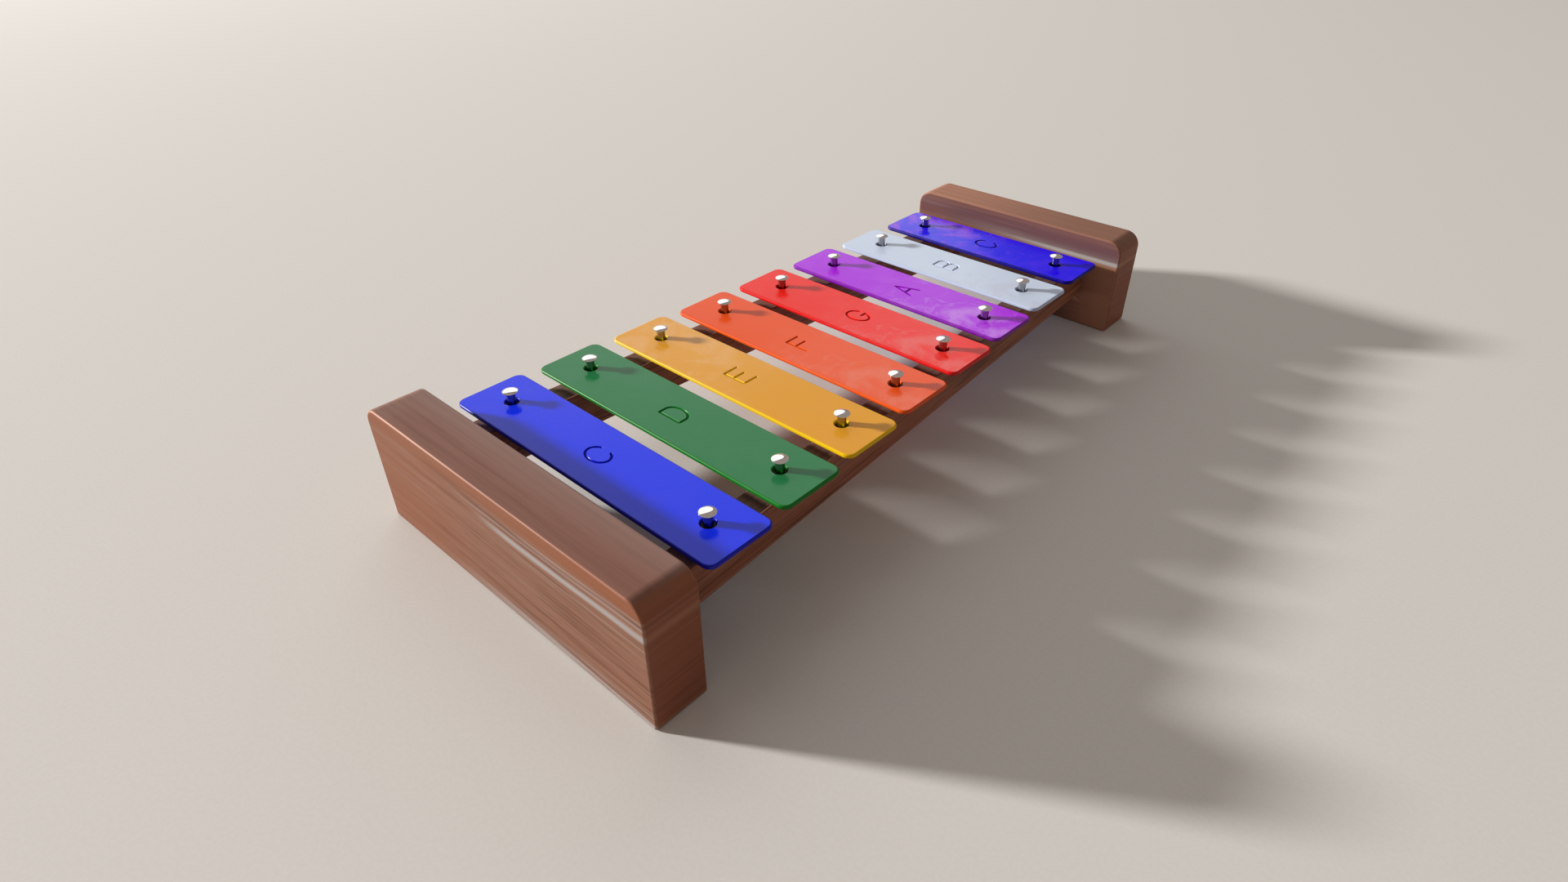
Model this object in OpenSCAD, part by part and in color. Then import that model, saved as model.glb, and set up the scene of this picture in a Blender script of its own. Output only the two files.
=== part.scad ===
// Eight-bar toy glockenspiel ("xylophone"): enamelled metal bars held loosely by
// dome-headed pins on two converging wooden rails between two wooden end blocks.
// The bars run along X, the row runs along Y, and the low C is at -Y.

/* [Bars] */
// Width of every bar
bar_w = 24.5; // [22:0.5:26]
// Thickness of every bar
bar_t = 1.5; // [1.3:0.1:2]
// Length of the longest bar, the low C
bar_long = 116.6; // [112:0.2:122]
// Length of the shortest bar, the high C
bar_short = 90.7; // [86:0.1:94]
// Distance from one bar's middle to the next
bar_pitch = 29.9; // [28:0.1:33]
// Radius of a bar's corners, seen from above
bar_corner_r = 3; // [2:0.1:5]
// Radius that breaks a bar's upper and lower edges
bar_edge_r = 0.6; // [0.3:0.1:0.6]
// Height of a bar's upper face above the table
bar_top_z = 33.3; // [30:0.1:34]
// Height of the note letter engraved in a bar
letter_h = 9.3; // [7:0.1:11]
// Width of the engraved stroke
letter_stroke = 0.7; // [0.4:0.1:1]
// Depth of the engraved stroke
letter_depth = 0.3; // [0.2:0.1:0.5]

/* [Pins and felts] */
// Diameter of a pin's shank
pin_d = 2.9; // [2.6:0.1:3.2]
// Diameter of a pin's domed head
head_d = 5.1; // [5:0.1:6]
// Height of a pin's head
head_h = 0.9; // [0.8:0.1:2]
// Free height between a resting bar and the heads above it
bar_lift = 3.5; // [2:0.1:4]
// Depth of a pin in its rail
pin_depth = 11; // [8:0.5:13]
// Distance of a low C pin from the middle of its bar
pin_x_long = 45; // [43:0.1:46]
// Distance of a high C pin from the middle of its bar
pin_x_short = 32.3; // [31:0.1:34]
// Diameter of the hole in a bar
bore_d = 4.6; // [4.2:0.1:4.8]
// Radius of the rolled edge at the mouth of a bar's hole
lip_r = 0.4; // [0.2:0.05:0.5]
// Diameter of a felt washer
felt_d = 8; // [7:0.5:9]
// Thickness of a felt washer under the bars
felt_t = 2.9; // [2:0.1:3.3]

/* [Wooden frame] */
// Width of a rail
rail_w = 10; // [9:0.5:12]
// Height of a rail
rail_h = 14.5; // [13:0.1:17]
// Chamfer along a rail's upper and lower edges
rail_edge = 0.5; // [0.3:0.1:1]
// Thickness of both end blocks
block_t = 17.5; // [16:0.5:20]
// Length of the block beside the low C
near_block_l = 127.4; // [124:0.2:134]
// Height of the block beside the low C
near_block_h = 42; // [40:0.5:46]
// Length of the block beside the high C
far_block_l = 100.8; // [98:0.2:110]
// Height of the block beside the high C
far_block_h = 40; // [38.5:0.5:44]
// Radius of a block's two upper corners
block_corner_r = 6; // [4:0.5:9]
// Radius that breaks a block's long edges
block_edge_r = 0.8; // [0.5:0.1:1.5]
// Gap between the near end block and the low C
near_gap = 8.2; // [6:0.1:10]
// Gap between the far end block and the high C
far_gap = 9.1; // [6:0.1:10]
// Diameter of the dowels that join rail and block
dowel_d = 4; // [3:0.5:5]
// Length of a dowel, half in the rail and half in the block
dowel_l = 20; // [14:1:26]

/* [Hidden] */
COLOURS = ["blue", "green", "goldenrod", "darkorange", "red", "darkviolet", "ghostwhite", "blue"];

$fn = 64;
slip = 0.02;                          // radial clearance of a pin or dowel in its hole
cut = 1;                              // how far a cutter runs past the face it opens
bar_n = 8;
row_l = (bar_n - 1) * bar_pitch;      // first bar's middle to last bar's middle
inner_l = row_l + bar_w + near_gap + far_gap;
row_shift = (near_gap - far_gap) / 2;   // of the row's middle from the middle of the frame
rail_top_z = bar_top_z - bar_t - felt_t;
head_z = bar_top_z + bar_lift;
felt_bore_d = pin_d + 0.2;
dome_share = 0.75;                    // of head_h, above the head's straight rim
dowel_rise = 0.28;                    // dowel height from the rail's middle, as a share of rail_h
dowel_hole_d = dowel_d + 2 * slip;
end_share = 0.92;                     // width of a letter stroke's round end, as a share of the stroke
oval_steps = 36;                      // chords along the round of a letter
letter_shift = [-1.1, -0.5, -1.9, -1, 0.4, 0.2, -0.5, -0.4];   // X of each letter on its bar

function bar_y(i) = row_shift + (i - (bar_n - 1) / 2) * bar_pitch;
function bar_l(i) = bar_long + (bar_short - bar_long) * i / (bar_n - 1);
function pin_x(i) = pin_x_long + (pin_x_short - pin_x_long) * i / (bar_n - 1);
// The rail's middle line passes under its pins and runs on to both end blocks.
function rail_x(y) = pin_x_long + (pin_x_short - pin_x_long) * (y - bar_y(0)) / row_l;

// ---- shared shapes -------------------------------------------------------

// Flat disc whose rims are rounded, standing on z = 0.
module soft_disc(r, t, e) {
    rotate_extrude()
        intersection() {
            union() {
                translate([-r, e]) square([2 * r, t - 2 * e]);
                translate([e - r, 0]) square([2 * (r - e), t]);
                for (x = [e - r, r - e], y = [e, t - e]) translate([x, y]) circle(e);
            }
            square([r + cut, t]);
        }
}

// Rectangle w by t with its four corners rounded, middle at x = 0, standing on y = 0.
module soft_rect(w, t, e) {
    translate([-w / 2, e]) square([w, t - 2 * e]);
    translate([e - w / 2, 0]) square([w - 2 * e, t]);
    for (x = [e - w / 2, w / 2 - e], y = [e, t - e]) translate([x, y]) circle(e);
}

// Plate l by w by t with corner radius r in plan and edge radius e, standing on z = 0.
module soft_plate(l, w, t, r, e) {
    for (x = [r - l / 2, l / 2 - r], y = [r - w / 2, w / 2 - r])
        translate([x, y, 0]) soft_disc(r, t, e);
    rotate([90, 0, 90])
        translate([0, 0, r - l / 2]) linear_extrude(l - 2 * r) soft_rect(w, t, e);
    rotate([90, 0, 0])
        translate([0, 0, r - w / 2]) linear_extrude(w - 2 * r) soft_rect(l, t, e);
}

// Cutter for a through hole in a plate standing on z = 0, with both mouths rolled over.
module lipped_hole(d, t, lip) {
    translate([0, 0, -cut]) cylinder(h = t + 2 * cut, d = d);
    for (top = [0, 1])
        translate([0, 0, top * t]) mirror([0, 0, top])
            rotate_extrude()
                difference() {
                    square([d / 2 + lip, lip]);
                    translate([d / 2 + lip, lip]) circle(lip);
                }
}

// ---- note letters: single strokes, u to the right and v up ----------------

// Straight stroke from a to b. Its round ends are a little narrower than the stroke, so
// that they cross its sides cleanly.
module stroke(a, b) {
    run = b - a;
    translate(a) rotate(atan2(run[1], run[0])) translate([0, -letter_stroke / 2])
        square([norm(run), letter_stroke]);
    for (p = [a, b]) translate(p) circle(d = end_share * letter_stroke);
}

// Arc of radius r about c from angle a0 to a1, less than 180 degrees apart.
module arc_stroke(c, r, a0, a1) {
    reach = 4 * r;
    translate(c) {
        intersection() {
            difference() {
                circle(r + letter_stroke / 2);
                circle(r - letter_stroke / 2);
            }
            polygon([
                [0, 0],
                reach * [cos(a0), sin(a0)],
                reach * [cos((a0 + a1) / 2), sin((a0 + a1) / 2)],
                reach * [cos(a1), sin(a1)]
            ]);
        }
        for (a = [a0, a1]) translate(r * [cos(a), sin(a)]) circle(d = end_share * letter_stroke);
    }
}

// Point on an upright oval, a high and b wide from its middle, moved out by `out` across the
// line of the oval; t runs round from +u.
function on_oval(a, b, t, out) =
    [b * cos(t), a * sin(t)] + out * [a * cos(t), b * sin(t)] / norm([a * cos(t), b * sin(t)]);

// Stroke along that oval from t0 to t1, with round ends.
module oval_stroke(a, b, t0, t1) {
    half = letter_stroke / 2;
    step = (t1 - t0) / oval_steps;
    polygon([
        for (k = [0 : oval_steps]) on_oval(a, b, t0 + k * step, half),
        for (k = [0 : oval_steps]) on_oval(a, b, t1 - k * step, -half)
    ]);
    for (t = [t0, t1]) translate(on_oval(a, b, t, 0)) circle(d = end_share * letter_stroke);
}

module letter_c(h, w) {
    oval_stroke(h / 2, w / 2, 30, 330);
}

module letter_g(h, w) {
    last = 350;
    sill = on_oval(h / 2, w / 2, last, 0);
    oval_stroke(h / 2, w / 2, 24, last);
    stroke([0.13 * w, sill[1]], sill);
}

// Area inside the middle line of a D, grown by `out`.
module bow_area(h, w, out) {
    bow = 0.55 * w;
    step = 180 / oval_steps;
    polygon([
        [-w / 2 - out, -h / 2 - out],
        for (k = [0 : oval_steps])
            [w / 2 - bow + (bow + out) * sin(k * step), -(h / 2 + out) * cos(k * step)],
        [-w / 2 - out, h / 2 + out]
    ]);
}

module letter_d(h, w) {
    difference() {
        bow_area(h, w, letter_stroke / 2);
        bow_area(h, w, -letter_stroke / 2);
    }
}

module letter_f(h, w) {
    level = 0.04 * h;
    stroke([-w / 2, -h / 2], [-w / 2, h / 2]);
    stroke([-w / 2, h / 2], [w / 2, h / 2]);
    stroke([-w / 2, level], [0.35 * w, level]);
}

module letter_e(h, w) {
    letter_f(h, w);
    stroke([-w / 2, -h / 2], [w / 2, -h / 2]);
}

module letter_a(h, w) {
    level = -0.15 * h;
    half = w / 2 * (0.5 - level / h);
    for (s = [-1, 1]) stroke([s * w / 2, -h / 2], [0, h / 2]);
    stroke([-half, level], [half, level]);
}

module letter_b(h, w) {
    upper = h / 4;
    for (s = [0, 1]) mirror([0, s]) {
        stroke([-w / 2, 0], [w / 2 - upper, 0]);
        stroke([-w / 2, h / 2], [w / 2 - upper, h / 2]);
        arc_stroke([w / 2 - upper, upper], upper, -90, 0);
        arc_stroke([w / 2 - upper, upper], upper, 0, 90);
    }
    stroke([-w / 2, -h / 2], [-w / 2, h / 2]);
}

module note_letter(i) {
    w = 0.6 * letter_h;
    round_w = 0.7 * letter_h;
    translate([letter_shift[i], 0]) rotate(90) {
        if (i == 0 || i == bar_n - 1) letter_c(letter_h, round_w);
        if (i == 1) letter_d(letter_h, w);
        if (i == 2) letter_e(letter_h, w);
        if (i == 3) letter_f(letter_h, w);
        if (i == 4) letter_g(letter_h, round_w);
        if (i == 5) letter_a(letter_h, 1.1 * w);
        if (i == 6) letter_b(letter_h, w);
    }
}

// ---- sub-parts ------------------------------------------------------------

module bar(i) {
    color(COLOURS[i])
        translate([0, bar_y(i), bar_top_z - bar_t])
            difference() {
                soft_plate(bar_l(i), bar_w, bar_t, bar_corner_r, bar_edge_r);
                for (side = [-1, 1])
                    translate([side * pin_x(i), 0, 0]) lipped_hole(bore_d, bar_t, lip_r);
                translate([0, 0, bar_t - letter_depth])
                    linear_extrude(letter_depth + cut) note_letter(i);
            }
}

// Nail with a low domed head; its shank is driven into the rail.
module pin(i, side) {
    dome_h = dome_share * head_h;
    dome_r = (pow(head_d / 2, 2) + pow(dome_h, 2)) / (2 * dome_h);
    color("silver")
        translate([side * pin_x(i), bar_y(i), 0]) {
            translate([0, 0, rail_top_z - pin_depth])
                cylinder(h = head_z + head_h / 2 - rail_top_z + pin_depth, d = pin_d);
            translate([0, 0, head_z])
                intersection() {
                    cylinder(h = head_h, d = head_d);
                    translate([0, 0, head_h - dome_r]) sphere(dome_r, $fn = 128);
                }
        }
}

module felt(i, side) {
    color("dimgray")
        translate([side * pin_x(i), bar_y(i), rail_top_z])
            difference() {
                cylinder(h = felt_t, d = felt_d);
                translate([0, 0, -cut]) cylinder(h = felt_t + 2 * cut, d = felt_bore_d);
            }
}

// Both dowels of one joint, along Y; end is -1 at the near block and 1 at the far block.
module dowel_pair(side, end, d, l) {
    y = end * inner_l / 2;
    for (rise = [-dowel_rise, dowel_rise])
        translate([side * rail_x(y), y + l / 2, rail_top_z + (rise - 0.5) * rail_h])
            rotate([90, 0, 0]) cylinder(h = l, d = d);
}

module rail(side) {
    y0 = -inner_l / 2;
    y1 = inner_l / 2;
    slant = atan2(rail_x(y1) - rail_x(y0), inner_l);
    across = rail_w / cos(slant) / 2;
    color("sienna")
        difference() {
            intersection() {
                translate([0, 0, rail_top_z - rail_h])
                    linear_extrude(rail_h)
                        polygon([
                            [side * (rail_x(y0) - across), y0],
                            [side * (rail_x(y0) + across), y0],
                            [side * (rail_x(y1) + across), y1],
                            [side * (rail_x(y1) - across), y1]
                        ]);
                translate([side * rail_x(0), 0, rail_top_z - rail_h / 2])
                    rotate([90, 0, -side * slant])
                        linear_extrude(2 * inner_l, center = true)
                            chamfered_rect(rail_w, rail_h, rail_edge);
            }
            for (i = [0 : bar_n - 1])
                translate([side * pin_x(i), bar_y(i), rail_top_z - pin_depth])
                    cylinder(h = pin_depth + cut, d = pin_d + 2 * slip);
            for (end = [-1, 1]) dowel_pair(side, end, dowel_hole_d, dowel_l);
        }
}

module chamfered_rect(w, h, c) {
    a = w / 2;
    b = h / 2;
    polygon([
        [c - a, -b], [a - c, -b], [a, c - b], [a, b - c],
        [a - c, b], [c - a, b], [-a, b - c], [-a, c - b]
    ]);
}

// End block standing on z = 0; end is -1 at the near block and 1 at the far block.
module end_block(l, h, end) {
    e = block_edge_r;
    y = end * (inner_l + block_t) / 2;
    color("peru")
        difference() {
            translate([0, y + block_t / 2, 0]) rotate([90, 0, 0])
                intersection() {
                    translate([0, h / 2 - block_corner_r, 0])
                        soft_plate(l, h + 2 * block_corner_r, block_t, block_corner_r, e);
                    translate([-l, 0, -cut]) cube([2 * l, 2 * h, block_t + 2 * cut]);
                }
            for (side = [-1, 1]) dowel_pair(side, end, dowel_hole_d, dowel_l);
        }
}

module near_end_block() { end_block(near_block_l, near_block_h, -1); }
module far_end_block() { end_block(far_block_l, far_block_h, 1); }

module dowels(end) {
    color("burlywood")
        for (side = [-1, 1]) dowel_pair(side, end, dowel_d, dowel_l);
}

near_end_block();
far_end_block();
rail(-1);  // left_rail
rail(1);  // right_rail
dowels(-1);  // near_dowels
dowels(1);  // far_dowels
bar(0);  // bar_c_low
bar(1);  // bar_d
bar(2);  // bar_e
bar(3);  // bar_f
bar(4);  // bar_g
bar(5);  // bar_a
bar(6);  // bar_b
bar(7);  // bar_c_high
pin(0, -1);  // left_pin_c_low
pin(1, -1);  // left_pin_d
pin(2, -1);  // left_pin_e
pin(3, -1);  // left_pin_f
pin(4, -1);  // left_pin_g
pin(5, -1);  // left_pin_a
pin(6, -1);  // left_pin_b
pin(7, -1);  // left_pin_c_high
pin(0, 1);  // right_pin_c_low
pin(1, 1);  // right_pin_d
pin(2, 1);  // right_pin_e
pin(3, 1);  // right_pin_f
pin(4, 1);  // right_pin_g
pin(5, 1);  // right_pin_a
pin(6, 1);  // right_pin_b
pin(7, 1);  // right_pin_c_high
felt(0, -1);  // left_felt_c_low
felt(1, -1);  // left_felt_d
felt(2, -1);  // left_felt_e
felt(3, -1);  // left_felt_f
felt(4, -1);  // left_felt_g
felt(5, -1);  // left_felt_a
felt(6, -1);  // left_felt_b
felt(7, -1);  // left_felt_c_high
felt(0, 1);  // right_felt_c_low
felt(1, 1);  // right_felt_d
felt(2, 1);  // right_felt_e
felt(3, 1);  // right_felt_f
felt(4, 1);  // right_felt_g
felt(5, 1);  // right_felt_a
felt(6, 1);  // right_felt_b
felt(7, 1);  // right_felt_c_high
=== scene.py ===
"""Looks of the toy xylophone: enamelled bars, oiled wooden frame, chromed pins and felt washers.
Lengths are in metres in the CAD's own frame: bars along X, row along Y, table at z = 0."""

import math

import bpy
import numpy as np
from mathutils import Euler, Matrix, Vector
from mathutils import noise as space_noise
from mathutils.geometry import delaunay_2d_cdt


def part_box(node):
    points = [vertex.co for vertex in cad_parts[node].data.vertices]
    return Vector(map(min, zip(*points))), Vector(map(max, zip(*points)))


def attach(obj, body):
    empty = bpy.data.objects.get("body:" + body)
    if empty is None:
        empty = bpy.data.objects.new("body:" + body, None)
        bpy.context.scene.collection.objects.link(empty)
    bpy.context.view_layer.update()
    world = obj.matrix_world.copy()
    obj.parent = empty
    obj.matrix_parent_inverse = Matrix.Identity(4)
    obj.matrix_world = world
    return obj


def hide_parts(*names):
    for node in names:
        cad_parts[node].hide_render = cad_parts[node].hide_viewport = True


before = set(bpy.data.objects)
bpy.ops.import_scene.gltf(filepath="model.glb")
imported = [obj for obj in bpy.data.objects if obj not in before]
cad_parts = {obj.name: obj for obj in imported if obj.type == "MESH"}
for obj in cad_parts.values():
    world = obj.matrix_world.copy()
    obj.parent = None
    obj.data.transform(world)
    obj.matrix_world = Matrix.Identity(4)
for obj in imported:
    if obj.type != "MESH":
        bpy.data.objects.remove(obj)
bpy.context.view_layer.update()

MM = 0.001
NOTES = ["c_low", "d", "e", "f", "g", "a", "b", "c_high"]
SIDES = ["left", "right"]

# Bars
BAR_CORNER_R = 3.0 * MM
BAR_CORNER_STEPS = 8
BAR_EDGE_R = 0.6 * MM
BAR_EDGE_STEPS = 6
BORE_R = 2.3 * MM
BORE_STEPS = 56
LIP_R = 0.4 * MM
LIP_STEPS = 5
# Letters
LETTER_H = 9.3 * MM
LETTER_W = 0.6 * LETTER_H
ROUND_LETTER_W = 0.7 * LETTER_H
LETTER_SHIFT = dict(zip(NOTES, [-1.1, -0.5, -1.9, -1.0, 0.4, 0.2, -0.5, -0.4]))   # X on its bar, in mm
GROOVE_DEPTH = 0.3 * MM
GROOVE_FLOOR = 0.28 * MM     # half width of the groove's flat bottom
GROOVE_WALL = 0.2 * MM       # width of each sloping wall
GROOVE_SHADE = 1.6           # its painted shade is at full strength 1 / 1.6 of the way down that wall
PATCH_STEP = 0.1 * MM        # spacing of the fine mesh that carries a letter
PATCH_MARGIN = 0.8 * MM
# Pins
PIN_TURNS = 48
SHANK_R = 1.45 * MM
SHANK_BEVEL = 0.3 * MM
FILLET_R = 0.2 * MM          # where the shank meets the head
HEAD_H = 0.9 * MM
RIM_H = 0.22 * MM            # height of a head's widest ring above its underside
DOME_STEPS = 12
# Felts
FELT_TURNS = 64
FELT_BORE_R = 1.55 * MM
FELT_EDGE_R = 0.3 * MM
FELT_FUZZ = 0.07 * MM
FUZZ_SCALE = 2500            # cycles per metre
FUZZ_SHIFT = 500             # noise units per metre between the patterns of two felts
# Wood
BLOCK_TOP_R = 6.0 * MM
BLOCK_FOOT_R = 1.0 * MM
BLOCK_CORNER_STEPS = 12
BLOCK_EDGE_R = 0.8 * MM
BLOCK_EDGE_STEPS = 6
LEAST_R = 0.2 * MM           # of a block's corners on its front and back faces
RAIL_W = 10.0 * MM
RAIL_EDGE_R = 0.5 * MM
RAIL_EDGE_STEPS = 5


# ---- mesh tools ---------------------------------------------------------------


class Shell:
    """Collects the rings and faces of one closed mesh. Each ring is a loop of vertex numbers. The edge
    value of a point is 1 on a rounded edge or a shaded part, and -1 at the bottom of a letter's groove.
    Materials read it to paint shade or a highlight there."""

    def __init__(self):
        self.points, self.edge, self.faces = [], [], []

    def ring(self, points, edge=0.0):
        start = len(self.points)
        self.points += [tuple(p) for p in points]
        self.edge += [edge] * len(points)
        return list(range(start, len(self.points)))

    def skin(self, a, b):
        """Quads between two loops of the same length."""
        n = len(a)
        for i in range(n):
            j = (i + 1) % n
            self.faces.append((a[i], a[j], b[j], b[i]))

    def stack(self, loops):
        for a, b in zip(loops, loops[1:]):
            self.skin(a, b)

    def cap(self, loop):
        self.faces.append(tuple(loop))

    def sheet(self, loops, holes, up=True):
        """Triangles over the flat area inside loops[0] and outside the other loops. holes holds
        one test for each area left open, true for a point inside it."""
        ids = [i for loop in loops for i in loop]
        flat = [Vector(self.points[i][:2]) for i in ids]
        edges, start = [], 0
        for loop in loops:
            n = len(loop)
            edges += [(start + i, start + (i + 1) % n) for i in range(n)]
            start += n
        places, _, triangles, origins, *_ = delaunay_2d_cdt(flat, edges, [], 1, 1e-9)
        for face in triangles:
            mid = sum((places[i] for i in face), Vector((0, 0))) / len(face)
            if any(inside(mid) for inside in holes):
                continue
            corners = [ids[origins[i][0]] for i in face]
            self.faces.append(tuple(corners if up else reversed(corners)))

    def build(self, name, at=(0, 0, 0)):
        mesh = bpy.data.meshes.new(name)
        mesh.from_pydata(self.points, [], self.faces)
        attribute = mesh.attributes.new("edge", "FLOAT", "POINT")
        attribute.data.foreach_set("value", self.edge)
        obj = bpy.data.objects.new(name, mesh)
        obj.location = at
        bpy.context.scene.collection.objects.link(obj)
        smooth_by_area(mesh)
        return obj


def smooth_by_area(mesh):
    """Smooth shading whose normals follow the larger faces, so that flats look flat up to their rims."""
    mesh.shade_smooth()
    total = np.zeros((len(mesh.vertices), 3))
    for face in mesh.polygons:
        for v in face.vertices:
            total[v] += np.array(face.normal) * face.area
    total /= np.maximum(np.linalg.norm(total, axis=1, keepdims=True), 1e-20)
    mesh.normals_split_custom_set_from_vertices(total.tolist())


def round_loop(l, w, radii, n):
    """Points round a rectangle l by w about the origin, anticlockwise from the +X +Y corner, with
    one radius for each corner and n steps on each."""
    corners = [(1, 1, 0), (-1, 1, 90), (-1, -1, 180), (1, -1, 270)]
    points = []
    for (sx, sy, first), r in zip(corners, radii):
        cx, cy = sx * (l / 2 - r), sy * (w / 2 - r)
        for k in range(n + 1):
            a = math.radians(first + 90 * k / n)
            points.append((cx + r * math.cos(a), cy + r * math.sin(a)))
    return points


def soft_steps(t, e, n):
    """(inset, height, edge value) from the bottom face of a plate of thickness t up its soft edge
    of radius e, with n steps on each rounding, to its top face."""
    angles = [math.pi / 2 * (1 - k / n) for k in range(n + 1)]
    up = [(e * (1 - math.cos(a)), e * (1 - math.sin(a))) for a in angles]
    down = [(inset, t - h) for inset, h in reversed(up)]
    steps = up + down
    last = len(steps) - 1
    return [(inset, h, 0.0 if i in (0, last) else 1.0) for i, (inset, h) in enumerate(steps)]


def lathe(profile, turns, wobble=None, edge=None):
    """Turned piece about Z from (radius, height) points. edge gives the edge value of each height."""
    shell = Shell()
    loops = []
    for r, z in profile:
        points = []
        for k in range(turns):
            a = 2 * math.pi * k / turns
            p = Vector((r * math.cos(a), r * math.sin(a), z))
            points.append(wobble(p) if wobble else p)
        loops.append(shell.ring(points, edge(z) if edge else 0.0))
    return shell, loops


# ---- letters --------------------------------------------------------------------


def arc(cx, cy, rx, ry, a0, a1, n=24):
    angles = [math.radians(a0 + (a1 - a0) * k / n) for k in range(n + 1)]
    return [(cx + rx * math.cos(a), cy + ry * math.sin(a)) for a in angles]


def letter(note):
    """Strokes of a note's letter as polylines, u to the right and v up."""
    h, w = LETTER_H, LETTER_W
    r, v = w / 2, h / 2
    ru = ROUND_LETTER_W / 2
    name = note[0]
    if name == "c":
        return [arc(0, 0, ru, v, 30, 330, 60)]
    if name == "g":
        bowl = arc(0, 0, ru, v, 24, 350, 60)
        return [bowl + [(0.26 * ru, bowl[-1][1])]]
    if name == "d":
        bow = 0.55 * w
        return [[(-r, -v)] + arc(r - bow, 0, bow, v, -90, 90, 40) + [(-r, v), (-r, -v)]]
    if name in "ef":
        level = 0.04 * h
        strokes = [[(-r, -v), (-r, v), (r, v)], [(-r, level), (0.35 * w, level)]]
        return strokes + ([[(-r, -v), (r, -v)]] if name == "e" else [])
    if name == "a":
        half = 1.1 * r
        level = -0.15 * h
        cross = half * (0.5 - level / h)
        return [[(-half, -v), (0, v), (half, -v)], [(-cross, level), (cross, level)]]
    b = h / 4
    bowls = [[(-r, s * v)] + arc(r - b, s * b, b, b, s * 90, -s * 90) + [(-r, 0)] for s in (1, -1)]
    return bowls + [[(-r, -v), (-r, v)]]


def distance_to(strokes, points):
    """Distance of each point to the nearest stroke."""
    best = np.full(len(points), 1.0)
    for line in strokes:
        for a, b in zip(line, line[1:]):
            a, b = np.array(a), np.array(b)
            run = b - a
            span = max(run @ run, 1e-18)
            t = np.clip((points - a) @ run / span, 0, 1)
            best = np.minimum(best, np.linalg.norm(points - a - t[:, None] * run, axis=1))
    return best


# ---- pieces ---------------------------------------------------------------------


def middle(low, high):
    return (low + high) / 2


def bar_outline(shell, l, w, t):
    """Rings of a bar's outer wall, bottom to top."""
    loops = []
    for inset, z, edge in soft_steps(t, BAR_EDGE_R, BAR_EDGE_STEPS):
        outline = round_loop(l - 2 * inset, w - 2 * inset, [BAR_CORNER_R - inset] * 4, BAR_CORNER_STEPS)
        loops.append(shell.ring([(x, y, z) for x, y in outline], edge))
    shell.stack(loops)
    return loops


def bar_bore(shell, cx, t):
    """Rings of the wall of a hole about (cx, 0), bottom to top, with both mouths rolled over."""
    turn = [2 * math.pi * k / BORE_STEPS for k in range(BORE_STEPS)]
    rings = []
    for inset, z, edge in soft_steps(t, LIP_R, LIP_STEPS):
        r = BORE_R + inset
        rings.append(shell.ring([(cx + r * math.cos(a), r * math.sin(a), z) for a in turn], edge))
    shell.stack(rings[::-1])
    return rings


def letter_patch(shell, note, t, half_x, half_y):
    """Fine grid on a bar's top with the note's letter sunk in it. Gives the loop round the grid."""
    shift = LETTER_SHIFT[note] * MM
    nx, ny = round(2 * half_x / PATCH_STEP), round(2 * half_y / PATCH_STEP)
    xs, ys = np.linspace(-half_x, half_x, nx + 1) + shift, np.linspace(-half_y, half_y, ny + 1)
    grid = np.array([(x, y) for x in xs for y in ys])
    gap = distance_to(letter(note), np.stack([grid[:, 1], shift - grid[:, 0]], axis=1))
    sunk = np.clip((GROOVE_FLOOR + GROOVE_WALL - gap) / GROOVE_WALL, 0, 1)
    depth = GROOVE_DEPTH * sunk * sunk * (3 - 2 * sunk)
    patch = shell.ring([(x, y, t - d) for (x, y), d in zip(grid, depth)])
    # a negative edge value marks the groove, which the enamel paints in shade
    for i, share in zip(patch, sunk):
        shell.edge[i] = -min(1.0, GROOVE_SHADE * float(share))

    def at(i, j):
        return patch[i * (ny + 1) + j]

    for i in range(nx):
        for j in range(ny):
            shell.faces.append((at(i, j), at(i + 1, j), at(i + 1, j + 1), at(i, j + 1)))
    return ([at(i, 0) for i in range(nx)] + [at(nx, j) for j in range(ny)]
            + [at(i, ny) for i in range(nx, 0, -1)] + [at(0, j) for j in range(ny, 0, -1)])


def bar_piece(note):
    node = "bar_" + note
    low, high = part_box(node)
    mid = middle(low, high)
    l, w, t = high - low
    pins = [middle(*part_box(f"{side}_pin_{note}")) for side in SIDES]
    bores = [pin.x - mid.x for pin in pins]
    shift = LETTER_SHIFT[note] * MM
    half_x = LETTER_H / 2 + PATCH_MARGIN
    half_y = ROUND_LETTER_W / 2 + PATCH_MARGIN

    def in_bore(p):
        return any((p.x - cx) ** 2 + p.y ** 2 < (BORE_R + LIP_R) ** 2 for cx in bores)

    def in_patch(p):
        return abs(p.x - shift) < half_x and abs(p.y) < half_y

    shell = Shell()
    walls = [bar_outline(shell, l, w, t)] + [bar_bore(shell, cx, t) for cx in bores]
    rim = letter_patch(shell, note, t, half_x, half_y)
    shell.sheet([wall[-1] for wall in walls] + [rim], [in_bore, in_patch])
    shell.sheet([wall[0] for wall in walls], [in_bore], up=False)
    piece = shell.build("enamel_" + node, (mid.x, mid.y, low.z))
    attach(piece, "loose_" + node)
    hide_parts(node)
    return piece


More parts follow.
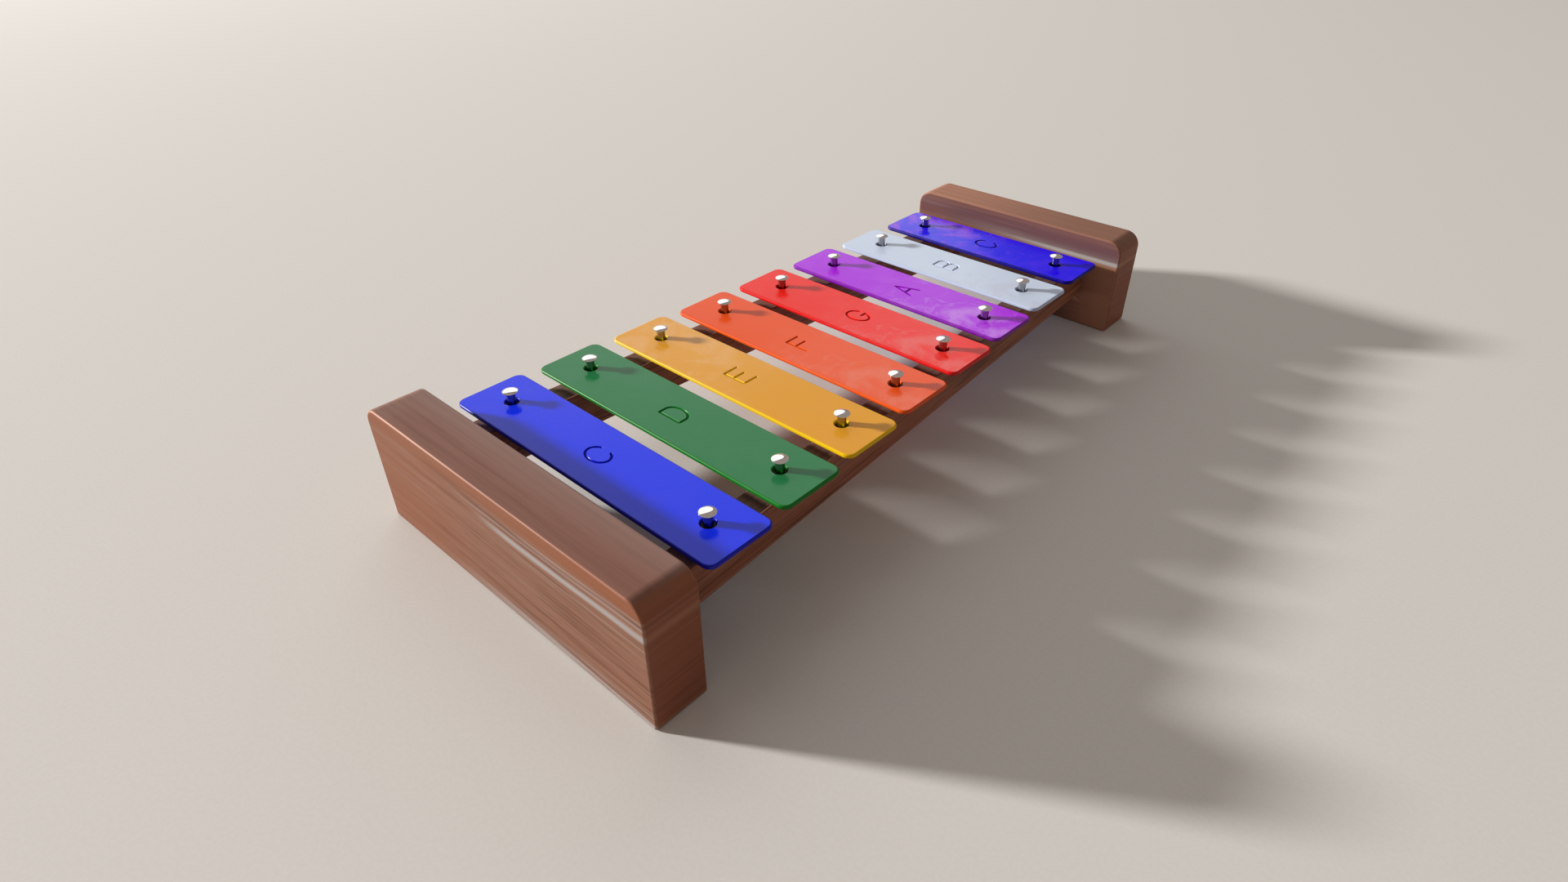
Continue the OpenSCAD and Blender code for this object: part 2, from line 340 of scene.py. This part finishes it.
def block_piece(node):
    """End block with rounded upper corners and softly broken edges round its front and back."""
    low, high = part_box(node)
    size = high - low
    shell, loops = Shell(), []
    radii = [BLOCK_TOP_R, BLOCK_TOP_R, BLOCK_FOOT_R, BLOCK_FOOT_R]
    for inset, depth, edge in soft_steps(size.y, BLOCK_EDGE_R, BLOCK_EDGE_STEPS):
        corners = [max(r - inset, LEAST_R) for r in radii]
        outline = round_loop(size.x - 2 * inset, size.z - 2 * inset, corners, BLOCK_CORNER_STEPS)
        loops.append(shell.ring([(x, size.y / 2 - depth, z) for x, z in outline], edge))
    shell.stack(loops)
    shell.cap(loops[0][::-1])
    shell.cap(loops[-1])
    piece = shell.build("oiled_" + node, middle(low, high))
    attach(piece, "frame")
    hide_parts(node)
    return piece


def rail_piece(node):
    """Straight rail, sheared so that both ends lie flat against the end blocks."""
    low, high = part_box(node)
    lean = -1 if node.startswith("right") else 1
    mid = middle(low, high)
    reach = (high.x - low.x - RAIL_W) / 2
    outline = round_loop(RAIL_W, high.z - low.z, [RAIL_EDGE_R] * 4, RAIL_EDGE_STEPS)
    shell, loops = Shell(), []
    for y, side in ((low.y, -1), (high.y, 1)):
        loops.append(shell.ring([(x + side * lean * reach, y - mid.y, z) for x, z in outline]))
    shell.stack(loops[::-1])
    shell.cap(loops[0])
    shell.cap(loops[-1][::-1])
    piece = shell.build("oiled_" + node, mid)
    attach(piece, "frame")
    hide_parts(node)
    return piece


def pin_profile(head_r, top):
    """(radius, height) points of a pin: bevelled tip, fillet under the head, round rim, low dome."""
    under = top - HEAD_H
    dome_h = HEAD_H - RIM_H
    dome_r = (head_r ** 2 + dome_h ** 2) / (2 * dome_h)
    sweep = math.asin(head_r / dome_r)
    profile = [(SHANK_R - SHANK_BEVEL, 0), (SHANK_R, SHANK_BEVEL), (SHANK_R, under - FILLET_R)]
    for degrees in (30, 60, 90):
        a = math.radians(degrees)
        profile.append((SHANK_R + FILLET_R * (1 - math.cos(a)), under - FILLET_R * (1 - math.sin(a))))
    for degrees in (0, 22, 45, 67, 90):
        a = math.radians(degrees)
        profile.append((head_r - RIM_H * (1 - math.sin(a)), under + RIM_H * (1 - math.cos(a))))
    for k in range(DOME_STEPS - 1, 0, -1):
        a = sweep * k / DOME_STEPS
        profile.append((dome_r * math.sin(a), top - dome_r * (1 - math.cos(a))))
    return profile


def pin_piece(node):
    low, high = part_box(node)
    mid = middle(low, high)
    top = high.z - low.z

    def shaded(z):
        """1 on the shank and the head's underside, where the chrome is painted in shade; 0 above them.
        """
        return 1.0 if z < top - HEAD_H + 0.3 * RIM_H else 0.0

    shell, loops = lathe(pin_profile((high.x - low.x) / 2, top), PIN_TURNS, edge=shaded)
    shell.stack(loops)
    tip = shell.ring([(0, 0, top)])[0]
    last = loops[-1]
    shell.faces += [(a, b, tip) for a, b in zip(last, last[1:] + last[:1])]
    shell.cap(loops[0][::-1])
    piece = shell.build("chrome_" + node, (mid.x, mid.y, low.z))
    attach(piece, "frame")
    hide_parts(node)
    return piece


def felt_piece(node):
    """Washer of pressed wool, round-edged and slightly uneven all over."""
    low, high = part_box(node)
    mid = middle(low, high)
    outer, t = (high.x - low.x) / 2, high.z - low.z
    seed = Vector((mid.x, mid.y, 0)) * FUZZ_SHIFT

    def fuzz(p):
        """Pulls a point towards the middle of the felt's body, never outwards."""
        core = Vector((p.x, p.y, 0)).normalized() * (outer + FELT_BORE_R) / 2 + Vector((0, 0, t / 2))
        pull = 0.5 + 0.5 * space_noise.noise(p * FUZZ_SCALE + seed)
        return p + (core - p).normalized() * FELT_FUZZ * pull

    profile = []
    for sign, r in ((1, outer), (-1, FELT_BORE_R)):
        for degrees in range(-90, 91, 30):
            a = math.radians(sign * degrees)
            z = (FELT_EDGE_R if a < 0 else t - FELT_EDGE_R) + FELT_EDGE_R * math.sin(a)
            profile.append((r - sign * FELT_EDGE_R * (1 - math.cos(a)), z))
    shell, loops = lathe(profile, FELT_TURNS, wobble=fuzz)
    shell.stack(loops)
    shell.skin(loops[-1], loops[0])
    piece = shell.build("wool_" + node, (mid.x, mid.y, low.z))
    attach(piece, "frame")
    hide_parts(node)
    return piece


# ---- material tools ---------------------------------------------------------------


def rgba(value):
    """A colour gets its alpha; anything else stays as it is."""
    return (*value, 1.0) if isinstance(value, tuple) and len(value) == 3 else value


def scaled(colour, share):
    return tuple(c * share for c in colour)


class Paint:
    """One procedural material: add() makes a node and links or sets its inputs."""

    def __init__(self, name):
        self.material = bpy.data.materials.new(name)
        self.material.use_nodes = True
        self.tree = self.material.node_tree
        self.shader = self.tree.nodes["Principled BSDF"]

    def put(self, node, key, value):
        socket = node.inputs[key]
        if isinstance(value, bpy.types.NodeSocket):
            self.tree.links.new(value, socket)
        else:
            socket.default_value = value

    def add(self, kind, inputs, out=0, **settings):
        node = self.tree.nodes.new("ShaderNode" + kind)
        for key, value in settings.items():
            setattr(node, key, value)
        for key, value in inputs.items():
            self.put(node, key, value)
        return node.outputs[out]

    def place(self, scale=(1, 1, 1), turn=(0, 0, 0), shift=(0, 0, 0)):
        """Coordinates of the piece itself, in metres, turned and then scaled."""
        own = self.add("TexCoord", {}, out="Object")
        turned = self.add("Mapping", {"Vector": own, "Rotation": turn, "Location": shift})
        return self.add("Mapping", {"Vector": turned, "Scale": scale})

    def part(self, vector, axis):
        """One of the three parts of a vector: 0 for X, 1 for Y, 2 for Z."""
        return self.add("SeparateXYZ", {0: vector}, out=axis)

    def facing(self, axis):
        """How far a face looks along an axis of its piece, from -1 to 1."""
        return self.part(self.add("TexCoord", {}, out="Normal"), axis)

    def edge(self):
        return self.add("Attribute", {}, out="Fac", attribute_name="edge")

    def noise(self, at, scale=1.0, detail=3.0, rough=0.5, warp=0.0):
        return self.add("TexNoise", {"Vector": at, "Scale": scale, "Detail": detail, "Roughness": rough,
                                     "Distortion": warp})

    def calc(self, operation, a, b=0.0, clamp=False):
        return self.add("Math", {0: a, 1: b}, operation=operation, use_clamp=clamp)

    def times(self, a, b):
        return self.calc("MULTIPLY", a, b)

    def plus(self, a, b):
        return self.calc("ADD", a, b)

    def minus(self, a, b):
        return self.calc("SUBTRACT", a, b)

    def larger(self, a, b):
        return self.calc("MAXIMUM", a, b)

    def size(self, a):
        return self.calc("ABSOLUTE", a)

    def fit(self, value, low, high, to_low=0.0, to_high=1.0):
        """Smooth step from to_low at low to to_high at high; low may be the larger one."""
        return self.add("MapRange", {"Value": value, "From Min": low, "From Max": high, "To Min": to_low,
                                     "To Max": to_high}, interpolation_type="SMOOTHSTEP")

    def fit_mm(self, value, low, high, to_low=0.0, to_high=1.0):
        """The same for a length, with low and high in millimetres."""
        return self.fit(value, low * MM, high * MM, to_low, to_high)

    def mix(self, share, a, b, blend="MIX"):
        node = self.tree.nodes.new("ShaderNodeMix")
        node.data_type = "RGBA"
        node.blend_type = blend
        for key, value in ((0, share), (6, a), (7, b)):
            self.put(node, key, rgba(value))
        return node.outputs[2]

    def ramp(self, value, tones):
        """Colours blended along value; tones holds (position, colour) pairs."""
        node = self.tree.nodes.new("ShaderNodeValToRGB")
        self.put(node, "Fac", value)
        stops = node.color_ramp.elements
        while len(stops) < len(tones):
            stops.new(0.5)
        for stop, (position, colour) in zip(stops, tones):
            stop.position = position
            stop.color = rgba(colour)
        return node.outputs[0]

    def bump(self, height, distance, under=None):
        inputs = {"Height": height, "Distance": distance, "Strength": 1.0}
        if under is not None:
            inputs["Normal"] = under
        return self.add("Bump", inputs)

    def finish(self, **inputs):
        for key, value in inputs.items():
            self.put(self.shader, key.replace("_", " "), rgba(value))
        return self.material


def dress(piece, material):
    piece.data.materials.clear()
    piece.data.materials.append(material)


# ---- enamel, chrome and felt ------------------------------------------------------

# colour: the clean paint; deep: painted shade on rounded edges, hole lips and in grooves; blush: the
# colour of the mottle, which is a painted sheen, of the smudges, which are partly painted sheen, and of
# the scratches; wear: how much of those shows; lean: the end of the bar, -1 or 1 along X, where most of
# the mottle is, or 0 for an even spread.
ENAMELS = {
    "blue": dict(colour=(0.002, 0.026, 0.90), edge_shade=(0.0, 0.002, 0.40), sheen_and_wear_tone=(0.05, 0.05, 0.80),
                 sheen_and_wear=0.3, lean=0),
    "green": dict(colour=(0.014, 0.190, 0.058), edge_shade=(0.0, 0.16, 0.004), sheen_and_wear_tone=(0.05, 0.22, 0.10),
                  sheen_and_wear=0.4, lean=0),
    "yellow": dict(colour=(0.76, 0.345, 0.022), edge_shade=(0.74, 0.47, 0.0), sheen_and_wear_tone=(0.80, 0.46, 0.20),
                   sheen_and_wear=0.9, lean=-1),
    "orange": dict(colour=(0.84, 0.088, 0.008), edge_shade=(0.68, 0.075, 0.0), sheen_and_wear_tone=(0.82, 0.20, 0.12),
                   sheen_and_wear=1.0, lean=1),
    "red": dict(colour=(0.88, 0.012, 0.006), edge_shade=(0.62, 0.0, 0.0), sheen_and_wear_tone=(0.84, 0.15, 0.14),
                sheen_and_wear=1.3, lean=1),
    "purple": dict(colour=(0.43, 0.012, 0.82), edge_shade=(0.17, 0.0, 0.31), sheen_and_wear_tone=(0.58, 0.25, 0.89),
                   sheen_and_wear=1.35, lean=1),
    "white": dict(colour=(0.60, 0.70, 0.88), edge_shade=(0.42, 0.48, 0.66), sheen_and_wear_tone=(0.55, 0.58, 0.72),
                  sheen_and_wear=0.9, lean=1),
    "violet_blue": dict(colour=(0.012, 0.0, 0.93), edge_shade=(0.002, 0.0, 0.14), sheen_and_wear_tone=(0.30, 0.06, 0.86),
                        sheen_and_wear=1.6, lean=-1),
}
BAR_COLOURS = ["blue", "green", "yellow", "orange", "red", "purple", "white", "blue"]
BAR_ENAMELS = BAR_COLOURS[:-1] + ["violet_blue"]

LEAN_REACH = 20              # mm each side of a bar's middle over which the lean takes effect
EVEN_GLOSS = 0.27
CHROME_CLEAN = (0.93, 0.92, 0.92)
CHROME_HAZY = (0.84, 0.82, 0.81)
SHANK_SHADE = (0.36, 0.35, 0.35)
WOOL_DARK = (0.05, 0.045, 0.045)
WOOL_PALE = (0.13, 0.12, 0.115)


def enamel(name, colour, edge_shade, sheen_and_wear_tone, sheen_and_wear, lean):
    """Glossy paint with a cloud-like mottle of painted sheen, smudges that are partly painted sheen,
    hair scratches, and painted shade in a deeper colour on rounded edges, hole lips and in grooves,
    which are duller too."""
    p = Paint(name)
    own = p.place()
    cloud = p.noise(own, 55, 4, 0.6, 0.8)
    smudge = p.noise(own, 130, 5, 0.62, 1.4)
    hairs = p.noise(p.place((90, 2200, 90), (0, 0, math.radians(24))), 1, 3, 0.7, 0.6)
    spread = p.fit_mm(p.part(own, 0), -LEAN_REACH * lean, LEAN_REACH * lean, 0.1, 1.2) if lean else 1.0
    sheen_mottle = p.times(p.fit(cloud, 0.46, 0.70), p.times(spread, 0.45 * sheen_and_wear))
    smudge_and_sheen = p.times(p.fit(smudge, 0.53, 0.68), p.times(spread, 0.3 * sheen_and_wear))
    scratch = p.times(p.fit(hairs, 0.66, 0.74), p.fit(cloud, 0.5, 0.62))
    groove = p.larger(p.times(p.edge(), -1.0), 0.0)
    shade_mask = p.size(p.edge())

    # painted sheen: the cloud mottle stands in for uneven reflections, the smudges are partly painted
    # sheen, and the hair scratches are real wear, all in the lighter mottle colour
    body = p.mix(sheen_mottle, colour, sheen_and_wear_tone)
    body = p.mix(smudge_and_sheen, body, sheen_and_wear_tone)
    body = p.mix(p.times(scratch, 0.5 * sheen_and_wear), body, sheen_and_wear_tone)
    # painted shade: rounded edges, hole lips and letter grooves take the darker, sheen-free edge colour
    body = p.mix(p.times(shade_mask, 0.92), body, edge_shade)

    rough = p.plus(p.fit(smudge, 0.35, 0.7, 0.13, 0.24), p.times(scratch, 0.15))
    rough = p.plus(rough, p.times(shade_mask, 0.2))
    gloss = p.plus(p.times(spread, 0.12), 0.14) if lean else EVEN_GLOSS
    gloss = p.times(gloss, p.minus(1.0, p.times(groove, 0.9)))
    peel = p.noise(own, 1000, 2, 0.5)
    swell = p.noise(own, 60, 2, 0.5)
    normal = p.bump(peel, 0.002 * MM, under=p.bump(swell, 0.05 * MM))
    return p.finish(Base_Color=body, Roughness=rough, Normal=normal, Specular_IOR_Level=gloss)


def chrome(name):
    """Polished plate, faintly hazed and rubbed, with painted shade in a darker grey on the shank and
    under the head.
    """
    p = Paint(name)
    haze = p.noise(p.place(), 700, 4, 0.6)
    rub = p.noise(p.place((300, 300, 3000)), 1, 3, 0.6)
    tone = p.mix(p.fit(haze, 0.35, 0.7), CHROME_CLEAN, CHROME_HAZY)
    # painted shade: the shank and the head's underside turn a darker grey
    tone = p.mix(p.edge(), tone, SHANK_SHADE)
    return p.finish(Base_Color=tone, Metallic=1.0, Roughness=p.fit(rub, 0.3, 0.75, 0.03, 0.08),
                    Normal=p.bump(haze, 0.0006 * MM))


def felt(name):
    p = Paint(name)
    wool = p.noise(p.place(), 3200, 4, 0.7, 2.0)
    tone = p.mix(p.fit(wool, 0.3, 0.7), WOOL_DARK, WOOL_PALE)
    return p.finish(Base_Color=tone, Roughness=p.fit(wool, 0.3, 0.7, 0.85, 1.0),
                    Normal=p.bump(wool, 0.12 * MM), Sheen_Weight=0.2)


# ---- wood -------------------------------------------------------------------------

# tones: the broad figure; dark and pale: the finer bands and lines; crown: a painted sheen and shade on
# faces that look up or down; rim: a painted highlight on rounded edges.
TAN = dict(
    tones=[(0.32, (0.205, 0.082, 0.046)), (0.45, (0.218, 0.104, 0.066)), (0.58, (0.208, 0.096, 0.059)),
           (0.70, (0.206, 0.090, 0.054))],
    dark=(0.120, 0.040, 0.020), pale=(0.25, 0.148, 0.104), top_sheen_and_shade=(0.146, 0.073, 0.071),
    rim=(0.32, 0.130, 0.075))
FAR_TAN = dict(TAN, top_sheen_and_shade=(0.238, 0.134, 0.106))
DOWEL_TAN = dict(TAN, top_sheen_and_shade=TAN["pale"], rim=TAN["pale"])
UMBER = dict(
    tones=[(0.30, (0.24, 0.072, 0.034)), (0.5, (0.34, 0.130, 0.075)), (0.7, (0.27, 0.082, 0.040))],
    dark=(0.085, 0.028, 0.015), pale=(0.30, 0.19, 0.15), top_sheen_and_shade=(0.21, 0.150, 0.130),
    rim=(0.30, 0.19, 0.15))
SAPWOOD = (0.35, 0.340, 0.335)
HEARTWOOD = (0.222, 0.074, 0.032)
HONEY = (0.50, 0.235, 0.145)
MAUVE = (0.105, 0.047, 0.062)
END_GRAIN_SHADE_TINT = (0.82, 0.40, 0.24)          # multiplies the near block's colour on its end faces: end grain, with painted shade on the +X face
FAR_END_GRAIN_SHADE_TINT = (1.12, 0.58, 0.33)      # and the far block's
NEAR_GRAIN_TILT = math.radians(-1)


def wood(name, turn, tones, dark, pale, top_sheen_and_shade, rim, figure=None):
    """Oiled wood, grain along local X once turned. Faces that look along X or Y show layers stacked in
    Z; faces that look up or down show layers side by side in Y and lean to the crown tone, a painted
    sheen and shade. figure adds what is special to one piece."""
    p = Paint(name)
    turned_normal = p.add("Mapping", {"Vector": p.add("TexCoord", {}, out="Normal"), "Rotation": turn})
    flat = p.fit(p.size(p.part(turned_normal, 2)), 0.45, 0.85)

    def grain(stretch, along, across, detail, rough, warp=0.0, shift=(0, 0, 0)):
        """Streaks, in cycles per metre: `along` the grain, `across` it, `stretch` on the third axis."""
        stood = p.noise(p.place((along, stretch, across), turn, shift), 1, detail, rough, warp)
        laid = p.noise(p.place((along, across, stretch), turn, shift), 1, detail, rough, warp)
        return p.plus(p.times(laid, flat), p.times(stood, p.minus(1.0, flat)))

    broad = grain(4, 5, 110, 3, 0.55, 0.25)
    bands = grain(6, 9, 380, 4, 0.62, 0.2, (0.3, 0.1, 0.2))
    lines = grain(11, 22, 760, 3, 0.6, 0.05, (0.7, 0.4, 0.1))
    hairs = grain(14, 30, 1500, 2, 0.6, 0.05, (0.2, 0.9, 0.5))
    pores = grain(300, 110, 3800, 2, 0.6)

    body = p.mix(p.times(p.fit(bands, 0.52, 0.68), 0.15), p.ramp(broad, tones), dark)
    body = p.mix(p.times(p.fit(bands, 0.46, 0.34), 0.3), body, pale)
    body = p.mix(p.times(p.fit(lines, 0.54, 0.62), 0.62), body, dark)
    body = p.mix(p.times(p.fit(hairs, 0.53, 0.62), 0.3), body, dark)
    # painted sheen and shade: faces that look up or down lean to the crown tone, and grain streaks on
    # them take a darker share of it
    body = p.mix(p.times(flat, 0.6), body, top_sheen_and_shade)
    streaks = p.plus(p.times(p.fit(lines, 0.50, 0.62), 0.6), p.fit(bands, 0.50, 0.62))
    body = p.mix(p.times(p.times(streaks, flat), 0.3), body, scaled(top_sheen_and_shade, 0.5))
    body = p.mix(p.times(p.fit(pores, 0.6, 0.75), 0.3), body, scaled(dark, 0.5))
    if figure:
        body = figure(p, body, bands)
    # painted highlight: rounded edges lighten towards the rim tone
    body = p.mix(p.times(p.edge(), 0.35), body, rim)
    normal = p.bump(lines, 0.02 * MM, under=p.bump(pores, 0.012 * MM))
    return p.finish(Base_Color=body, Roughness=p.fit(bands, 0.3, 0.7, 0.40, 0.55), Normal=normal,
                    Specular_IOR_Level=0.2)


def end_grain_and_shade(p, body, tint):
    """Darker, redder wood on the faces that look along +X, and a little of it on those along -X: end
    grain, with painted shade on the +X faces, which look away from the light.
    """
    side = p.facing(0)
    share = p.plus(p.fit(side, 0.75, 0.99), p.fit(side, -0.75, -0.99, 0.0, 0.4))
    return p.mix(share, body, tint, "MULTIPLY")


def far_figure(p, body, bands):
    """The far end block: a top that turns honey-coloured towards -X. The face towards the bars is mauve
    near its top, over a whitish streak and a honey-coloured foot at its +X end, which is painted light
    where the bars shade that face."""
    own = p.add("TexCoord", {}, out="Object")
    x, z = p.part(own, 0), p.part(own, 2)
    top = p.times(p.fit(p.facing(2), 0.5, 0.9), p.fit_mm(x, 35, -45))
    inner = p.fit(p.facing(1), -0.6, -0.95)
    mauve = p.times(p.times(inner, p.fit_mm(z, 9.0, 11.5)), p.fit_mm(z, 16, 18, 0.85, 0.55))
    haze = p.times(p.fit_mm(z, 15.0, 11.5), p.fit_mm(z, 9.0, 10.5, 0.0, 0.14))
    # painted light: the +X end of this face below the bars is lightened where the bars shade it
    foot = p.times(inner, p.fit_mm(z, 9.5, 8.0, 0.0, 0.7))
    gap = p.size(p.minus(z, 10.4 * MM))
    streak = p.times(p.fit_mm(gap, 1.4, 0.2), p.fit_mm(x, -15, 30))

    body = p.mix(p.times(top, 0.8), body, HONEY)
    body = p.mix(mauve, body, MAUVE)
    body = p.mix(p.times(p.fit(bands, 0.52, 0.63), 0.3), body, TAN["pale"])
    body = p.mix(p.times(p.fit(bands, 0.46, 0.36), 0.3), body, TAN["dark"])
    body = p.mix(p.times(haze, p.fit_mm(x, -45, 0)), body, SAPWOOD)
    body = p.mix(p.times(foot, p.fit_mm(x, 25, 45)), body, HONEY)
    body = p.mix(p.times(streak, p.fit(bands, 0.25, 0.6, 0.5, 0.85)), body, SAPWOOD)
    return end_grain_and_shade(p, body, FAR_END_GRAIN_SHADE_TINT)


# Sapwood streaks of the near block, in mm: height above the main one, half width, X where it
# starts and X where it is full; and last its strength.
NEAR_STREAKS = [(0.0, 1.9, -10, 10, 0.8), (3.0, 0.9, -30, 0, 0.35), (4.8, 0.7, 0, 30, 0.4),
                (-3.8, 0.6, -10, 30, 0.2)]
STREAK_Z = 10.1 * MM
STREAK_LOWEST_X = 10 * MM
STREAK_SAG = 0.4             # rise in metres per square metre of distance from the lowest point


def near_figure(p, body, bands):
    """The near end block: sagging streaks of sapwood, a pale foot, heartwood below the top edge and at
    the -X end, a painted highlight in honey on the rounding above that, and a top that turns pale along
    its +Y edge and at its -X end."""
    own = p.add("TexCoord", {}, out="Object")
    x, y, z = (p.part(own, axis) for axis in range(3))
    sway = p.times(p.minus(p.noise(p.place((14, 6, 40)), 1, 2, 0.5), 0.5), 4 * MM)
    z = p.plus(z, sway)
    off = p.minus(x, STREAK_LOWEST_X)
    level = p.minus(p.minus(z, STREAK_Z), p.times(p.times(off, off), STREAK_SAG))
    ragged = p.fit(bands, 0.3, 0.7, 0.8, 1.0)
    for lift, half, start, full, share in NEAR_STREAKS:
        gap = p.size(p.minus(level, lift * MM))
        band = p.times(p.fit_mm(gap, half, 0.1 * half), p.fit_mm(x, start, full))
        body = p.mix(p.times(p.times(band, ragged), share), body, SAPWOOD)

    foot = p.times(p.fit_mm(z, -15.0, -17.8), p.fit(bands, 0.68, 0.45))
    body = p.mix(p.times(foot, p.fit_mm(x, -30, 45, 0.10, 0.75)), body, SAPWOOD)

    up = p.facing(2)
    top = p.fit(up, 0.8, 0.97)
    heart = p.larger(p.fit_mm(z, 14.5, 18.5), p.fit_mm(x, 0, -55, 0.0, 0.75))
    heart = p.times(heart, p.minus(1.0, top))
    body = p.mix(p.times(heart, p.fit(bands, 0.25, 0.6, 0.7, 1.0)), body, HEARTWOOD)
    # painted highlight: honey along the rounded top edge, stronger towards -X
    brow_highlight = p.times(p.fit_mm(x, 10, -58, 0.0, 0.85), p.minus(p.fit(up, 0.1, 0.5), top))
    body = p.mix(p.calc("MULTIPLY", p.edge(), brow_highlight, clamp=True), body, HONEY)
    paler_top = p.larger(p.fit_mm(y, -3, 9, 0.0, 0.28), p.fit_mm(x, -45, -64, 0.0, 0.15))
    body = p.mix(p.times(paler_top, top), body, SAPWOOD)
    return end_grain_and_shade(p, body, END_GRAIN_SHADE_TINT)


# ---- scene ------------------------------------------------------------------------

CAMERA_AT = (0.1833, -0.2263, 0.1863)
CAMERA_DOWN = math.radians(34.8)
CAMERA_TURN = math.radians(42.5)
CAMERA_ROLL = math.radians(-0.47)
FLOOR_HALF = 15.0
FLOOR_TONES = (0.66, 0.645, 0.62), (0.68, 0.665, 0.64)
WORLD_TONE = (0.52, 0.45, 0.40)
WORLD_STRENGTH = 0.55


def make_camera():
    camera = bpy.data.objects.new("camera", bpy.data.cameras.new("camera"))
    camera.data.sensor_width = 36.0
    camera.data.lens = 20.73
    camera.data.clip_start = 0.005
    camera.data.clip_end = 60
    camera.location = CAMERA_AT
    aim = Euler((math.radians(90) - CAMERA_DOWN, 0, CAMERA_TURN)).to_matrix()
    camera.rotation_euler = (aim @ Matrix.Rotation(CAMERA_ROLL, 3, "Z")).to_euler()
    bpy.context.scene.collection.objects.link(camera)
    bpy.context.scene.camera = camera


def make_floor():
    shell = Shell()
    corners = [(-1, -1), (1, -1), (1, 1), (-1, 1)]
    shell.cap(shell.ring([(FLOOR_HALF * x, FLOOR_HALF * y, 0) for x, y in corners]))
    floor = shell.build("floor")
    p = Paint("floor_paper")
    tooth = p.noise(p.place(), 900, 3)
    tone = p.mix(p.fit(tooth, 0.3, 0.7), *FLOOR_TONES)
    floor.data.materials.append(p.finish(Base_Color=tone, Roughness=0.95, Specular_IOR_Level=0.1))


def make_light(name, towards, distance, size, watts, tint):
    """Round soft light of diameter size, in the direction towards, that faces the origin."""
    light = bpy.data.objects.new(name, bpy.data.lights.new(name, "AREA"))
    light.data.shape = "DISK"
    light.data.size = size
    light.data.energy = watts
    light.data.color = tint
    light.visible_camera = False
    way = Vector(towards).normalized()
    light.location = way * distance
    light.rotation_euler = way.to_track_quat("Z", "Y").to_euler()
    bpy.context.scene.collection.objects.link(light)


def make_world():
    world = bpy.data.worlds.new("studio")
    world.use_nodes = True
    background = world.node_tree.nodes["Background"]
    background.inputs["Color"].default_value = rgba(WORLD_TONE)
    background.inputs["Strength"].default_value = WORLD_STRENGTH
    bpy.context.scene.world = world


make_camera()
make_floor()
make_world()
make_light("key", towards=(-3.0, -1.9, 1.0), distance=8.0, size=0.65, watts=1187, tint=(1.0, 0.97, 0.93))
make_light("sky", towards=(-0.85, 0.45, 0.62), distance=4.5, size=5.4, watts=68, tint=(0.97, 0.99, 1.0))
bpy.context.scene.view_settings.view_transform = "Standard"

enamels = {name: enamel("enamel_" + name, **tones) for name, tones in ENAMELS.items()}
chrome_finish = chrome("chrome_pin")
felt_finish = felt("wool_felt")
for note, colour, finish in zip(NOTES, BAR_COLOURS, BAR_ENAMELS):
    dress(bar_piece(note), enamels[finish])
    for side in SIDES:
        dress(pin_piece(f"{side}_pin_{note}"), chrome_finish)
        dress(felt_piece(f"{side}_felt_{note}"), felt_finish)

ALONG_Y = (0, 0, math.radians(-90))
near_finish = wood("oiled_block_wood", (0, NEAR_GRAIN_TILT, 0), figure=near_figure, **TAN)
far_finish = wood("oiled_far_block_wood", (0, 0, 0), figure=far_figure, **FAR_TAN)
rail_finish = wood("oiled_rail_wood", ALONG_Y, **UMBER)
dowel_finish = wood("dowel_wood", ALONG_Y, **DOWEL_TAN)
dress(block_piece("near_end_block"), near_finish)
dress(block_piece("far_end_block"), far_finish)
for node in ("left_rail", "right_rail"):
    dress(rail_piece(node), rail_finish)
for node in ("near_dowels", "far_dowels"):
    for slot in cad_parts[node].material_slots:
        slot.material = dowel_finish
